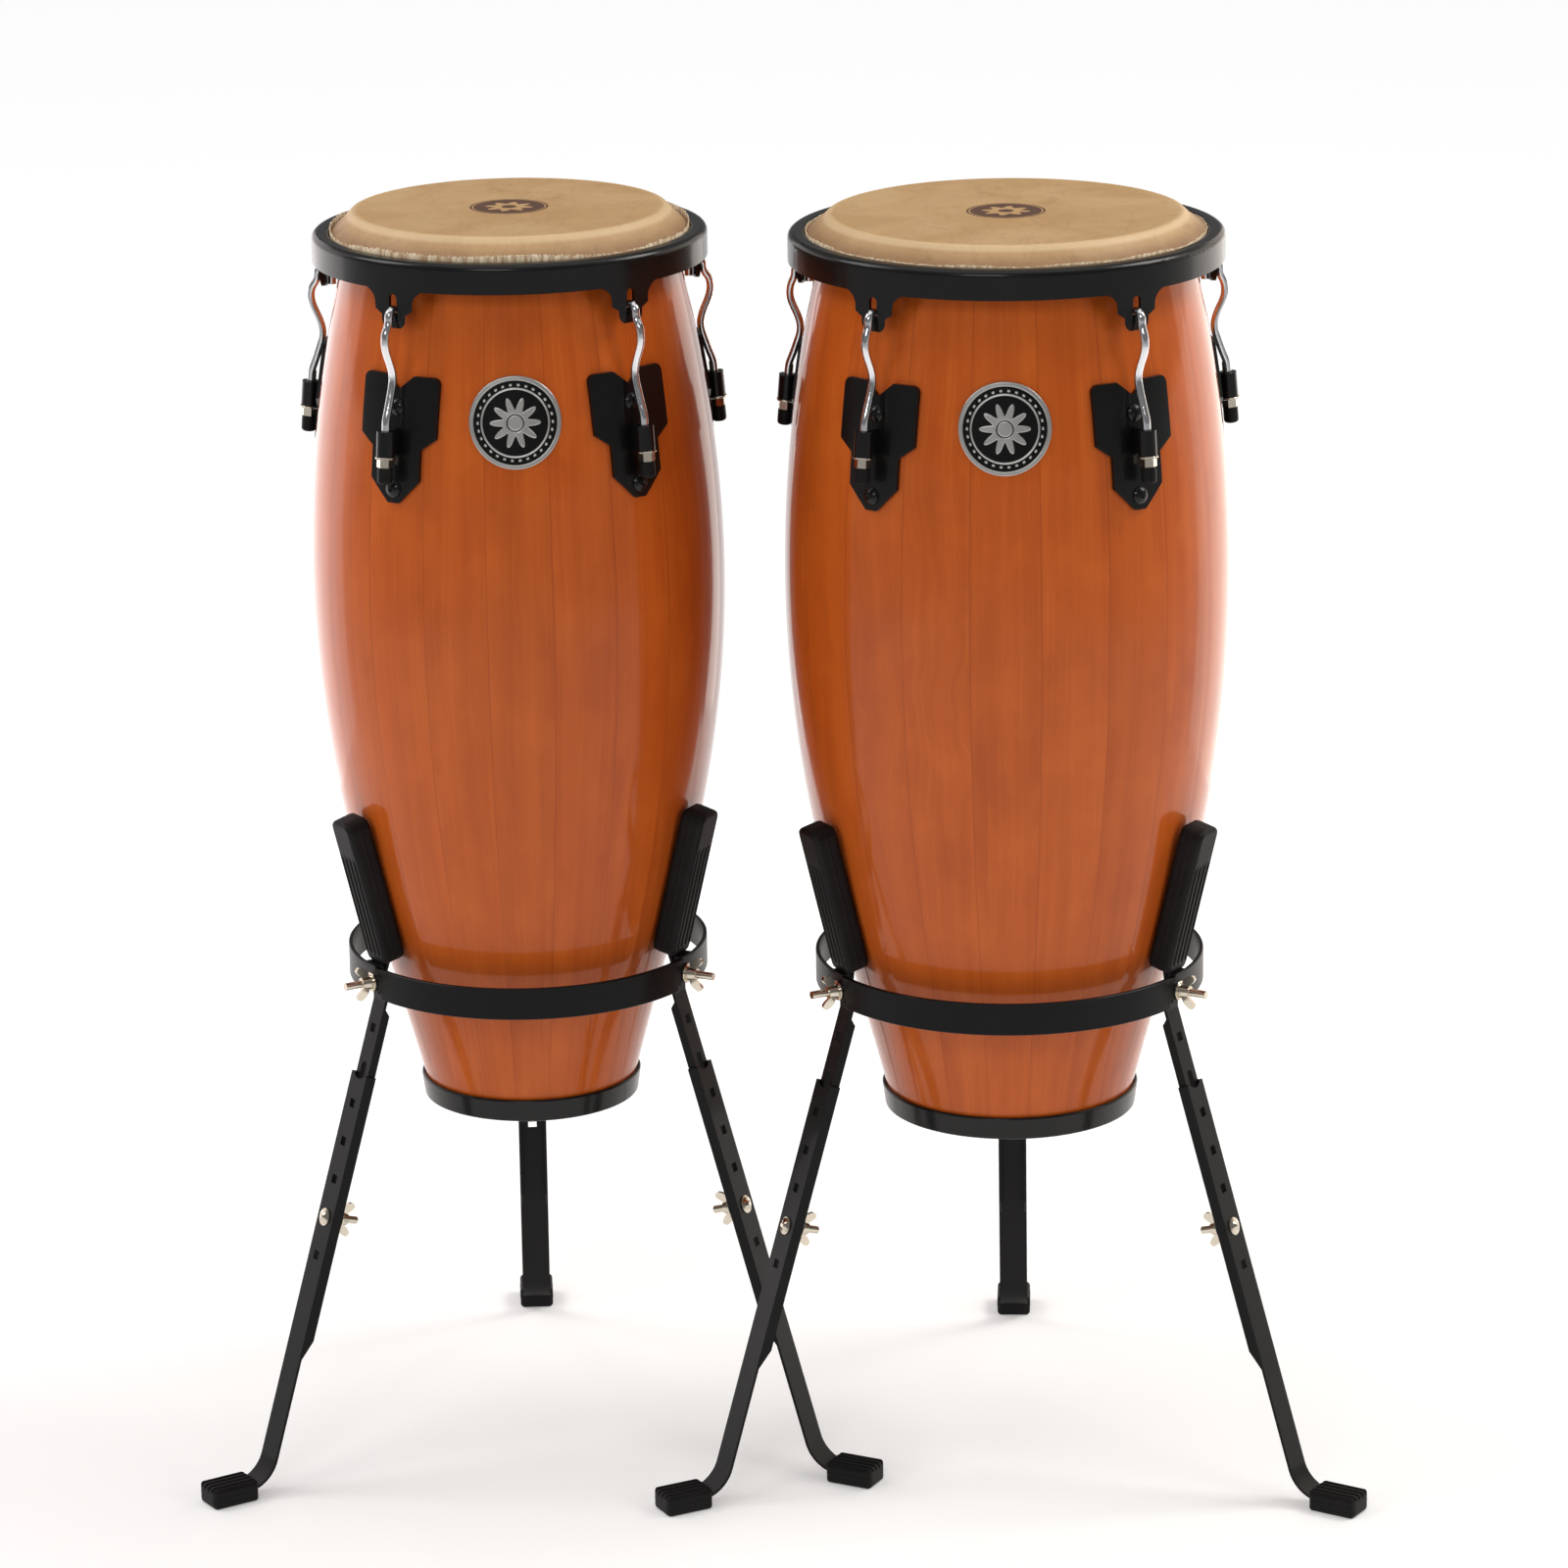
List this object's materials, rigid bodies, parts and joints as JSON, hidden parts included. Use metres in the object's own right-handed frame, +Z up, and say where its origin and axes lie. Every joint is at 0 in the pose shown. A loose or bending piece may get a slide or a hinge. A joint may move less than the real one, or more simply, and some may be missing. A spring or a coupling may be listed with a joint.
{
  "type": "conga drum pair on basket stands",
  "caption": "Pair of barrel-shaped stave drums with hide heads, hooked tuning rims and lug plates, each resting in a three-legged basket stand with telescoping legs.",
  "frame": {"origin": "on the floor under the middle of the pair of drums", "axes": "+Z up, -Y towards the player and the badges, +X from the smaller drum to the larger one"},
  "size_m": [0.9196, 0.5338, 1.004],
  "materials": {
    "wood": "gloss lacquer",
    "skin": "matte natural hide",
    "black_metal": "satin powder coat",
    "chrome": "polished plate",
    "zinc": "nickel plate",
    "rubber": "matte moulded",
    "badge": "satin with dark field"
  },
  "bodies": {
    "stand_a": {"stand_ring_a": "black_metal", "upper_legs_a": "black_metal", "arm_pads_a": "rubber", "ring_bolts_a": "zinc"},
    "drum_a": {"staves_a": "wood", "base_band_a": "black_metal", "side_plates_a": "black_metal", "plate_screws_a": "zinc", "badge_a": "badge", "skin_a": "skin", "tuning_nuts_a": "zinc"},
    "tension_a": {"rim_a": "black_metal", "flesh_hoop_a": "black_metal", "tuning_hooks_a": "chrome", "hook_caps_a": "rubber"},
    "leg_a_right": {"lower_leg_a_right": "black_metal", "foot_a_right": "rubber", "leg_bolt_a_right": "zinc"},
    "ring_wing_a_right": {"ring_nut_a_right": "zinc"},
    "leg_wing_a_right": {"leg_nut_a_right": "zinc"},
    "leg_a_left": {"lower_leg_a_left": "black_metal", "foot_a_left": "rubber", "leg_bolt_a_left": "zinc"},
    "ring_wing_a_left": {"ring_nut_a_left": "zinc"},
    "leg_wing_a_left": {"leg_nut_a_left": "zinc"},
    "leg_a_rear": {"lower_leg_a_rear": "black_metal", "foot_a_rear": "rubber", "leg_bolt_a_rear": "zinc"},
    "ring_wing_a_rear": {"ring_nut_a_rear": "zinc"},
    "leg_wing_a_rear": {"leg_nut_a_rear": "zinc"},
    "stand_b": {"stand_ring_b": "black_metal", "upper_legs_b": "black_metal", "arm_pads_b": "rubber", "ring_bolts_b": "zinc"},
    "drum_b": {"staves_b": "wood", "base_band_b": "black_metal", "side_plates_b": "black_metal", "plate_screws_b": "zinc", "badge_b": "badge", "skin_b": "skin", "tuning_nuts_b": "zinc"},
    "tension_b": {"rim_b": "black_metal", "flesh_hoop_b": "black_metal", "tuning_hooks_b": "chrome", "hook_caps_b": "rubber"},
    "leg_b_right": {"lower_leg_b_right": "black_metal", "foot_b_right": "rubber", "leg_bolt_b_right": "zinc"},
    "ring_wing_b_right": {"ring_nut_b_right": "zinc"},
    "leg_wing_b_right": {"leg_nut_b_right": "zinc"},
    "leg_b_left": {"lower_leg_b_left": "black_metal", "foot_b_left": "rubber", "leg_bolt_b_left": "zinc"},
    "ring_wing_b_left": {"ring_nut_b_left": "zinc"},
    "leg_wing_b_left": {"leg_nut_b_left": "zinc"},
    "leg_b_rear": {"lower_leg_b_rear": "black_metal", "foot_b_rear": "rubber", "leg_bolt_b_rear": "zinc"},
    "ring_wing_b_rear": {"ring_nut_b_rear": "zinc"},
    "leg_wing_b_rear": {"leg_nut_b_rear": "zinc"}
  },
  "joints": [
    {"name": "drum_lift_a", "type": "slide", "parent": "stand_a", "child": "drum_a", "axis": [0, 0, 1], "range_m": [0, 0.4]},
    {"name": "tuning_a", "type": "slide", "parent": "drum_a", "child": "tension_a", "axis": [0, 0, 1], "range_m": [-0.004, 0]},
    {"name": "leg_slide_a_right", "type": "slide", "parent": "stand_a", "child": "leg_a_right", "axis": [0.2625, -0.1361, -0.9553], "range_m": [-0.06, 0.01]},
    {"name": "ring_wing_spin_a_right", "type": "hinge", "parent": "stand_a", "child": "ring_wing_a_right", "pos_m": [-0.0628, -0.10738, 0.404], "axis": [0.8878, -0.4602, 0], "continuous": true},
    {"name": "leg_wing_spin_a_right", "type": "hinge", "parent": "leg_a_right", "child": "leg_wing_a_right", "pos_m": [-0.0399, -0.11925, 0.21327], "axis": [-0.8481, 0.4396, -0.2957], "continuous": true},
    {"name": "leg_slide_a_left", "type": "slide", "parent": "stand_a", "child": "leg_a_left", "axis": [-0.2491, -0.1593, -0.9553], "range_m": [-0.06, 0.01]},
    {"name": "ring_wing_spin_a_left", "type": "hinge", "parent": "stand_a", "child": "ring_wing_a_left", "pos_m": [-0.31993, -0.11891, 0.404], "axis": [-0.8425, -0.5388, 0], "continuous": true},
    {"name": "leg_wing_spin_a_left", "type": "hinge", "parent": "leg_a_left", "child": "leg_wing_a_left", "pos_m": [-0.34202, -0.13304, 0.21332], "axis": [0.8048, 0.5147, -0.2957], "continuous": true},
    {"name": "leg_slide_a_rear", "type": "slide", "parent": "stand_a", "child": "leg_a_rear", "axis": [-0.0134, 0.2954, -0.9553], "range_m": [-0.06, 0.01]},
    {"name": "ring_wing_spin_a_rear", "type": "hinge", "parent": "stand_a", "child": "ring_wing_a_rear", "pos_m": [-0.20167, 0.11108, 0.404], "axis": [-0.0454, 0.999, 0], "continuous": true},
    {"name": "leg_wing_spin_a_rear", "type": "hinge", "parent": "leg_a_rear", "child": "leg_wing_a_rear", "pos_m": [-0.20273, 0.13449, 0.21298], "axis": [0.0433, -0.9543, -0.2957], "continuous": true},
    {"name": "drum_lift_b", "type": "slide", "parent": "stand_b", "child": "drum_b", "axis": [0, 0, 1], "range_m": [0, 0.4]},
    {"name": "tuning_b", "type": "slide", "parent": "drum_b", "child": "tension_b", "axis": [0, 0, 1], "range_m": [-0.004, 0]},
    {"name": "leg_slide_b_right", "type": "slide", "parent": "stand_b", "child": "leg_b_right", "axis": [0.2491, -0.1593, -0.9553], "range_m": [-0.06, 0.01]},
    {"name": "ring_wing_spin_b_right", "type": "hinge", "parent": "stand_b", "child": "ring_wing_b_right", "pos_m": [0.31993, -0.17049, 0.404], "axis": [0.8425, -0.5388, 0], "continuous": true},
    {"name": "leg_wing_spin_b_right", "type": "hinge", "parent": "leg_b_right", "child": "leg_wing_b_right", "pos_m": [0.34202, -0.18461, 0.21332], "axis": [-0.8048, 0.5147, -0.2957], "continuous": true},
    {"name": "leg_slide_b_left", "type": "slide", "parent": "stand_b", "child": "leg_b_left", "axis": [-0.2625, -0.1361, -0.9553], "range_m": [-0.06, 0.01]},
    {"name": "ring_wing_spin_b_left", "type": "hinge", "parent": "stand_b", "child": "ring_wing_b_left", "pos_m": [0.04488, -0.15814, 0.404], "axis": [-0.8878, -0.4602, 0], "continuous": true},
    {"name": "leg_wing_spin_b_left", "type": "hinge", "parent": "leg_b_left", "child": "leg_wing_b_left", "pos_m": [0.02199, -0.17001, 0.21327], "axis": [0.8481, 0.4396, -0.2957], "continuous": true},
    {"name": "leg_slide_b_rear", "type": "slide", "parent": "stand_b", "child": "leg_b_rear", "axis": [0.0134, 0.2954, -0.9553], "range_m": [-0.06, 0.01]},
    {"name": "ring_wing_spin_b_rear", "type": "hinge", "parent": "stand_b", "child": "ring_wing_b_rear", "pos_m": [0.19342, 0.07543, 0.404], "axis": [0.0454, 0.999, 0], "continuous": true},
    {"name": "leg_wing_spin_b_rear", "type": "hinge", "parent": "leg_b_rear", "child": "leg_wing_b_rear", "pos_m": [0.19448, 0.09883, 0.21298], "axis": [-0.0433, -0.9543, -0.2957], "continuous": true},
    {"name": "pair_spacing", "type": "slide", "parent": "stand_a", "child": "stand_b", "axis": [0, -1, 0], "range_m": [0, 0.5]}
  ]
}
